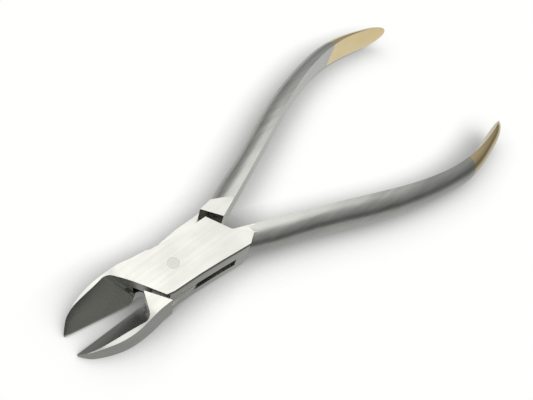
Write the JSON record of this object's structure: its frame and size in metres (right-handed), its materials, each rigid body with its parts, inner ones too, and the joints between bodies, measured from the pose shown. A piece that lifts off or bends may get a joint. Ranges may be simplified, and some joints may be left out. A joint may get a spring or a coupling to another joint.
{
  "type": "wire cutter",
  "caption": "Side cutter for hard dental wire: a box joint holds two levers with bevelled, insert-edged jaws and long curved handles with gold-plated ends.",
  "frame": {"origin": "on the rivet's axis, at the back face of the box joint", "axes": "+X from the rivet towards the handles, so the jaws point to -X; +Z along the rivet, from the back face to the front face; +Y towards the upper jaw's side"},
  "size_m": [0.1492, 0.0656, 0.0114],
  "materials": {
    "satin_steel": "satin, brushed along the tool; the handle ends are gold plated and polished",
    "rivet_steel": "satin",
    "insert_metal": "ground"
  },
  "bodies": {
    "box": {"box_lever": "satin_steel", "pivot_rivet": "rivet_steel", "box_jaw_insert": "insert_metal"},
    "tongue": {"tongue_lever": "satin_steel", "tongue_jaw_insert": "insert_metal"}
  },
  "joints": [
    {"name": "box_joint", "type": "hinge", "parent": "box", "child": "tongue", "pos_m": [0, 0, 0], "axis": [0, 0, 1], "range_deg": [-11.2, 26]}
  ]
}
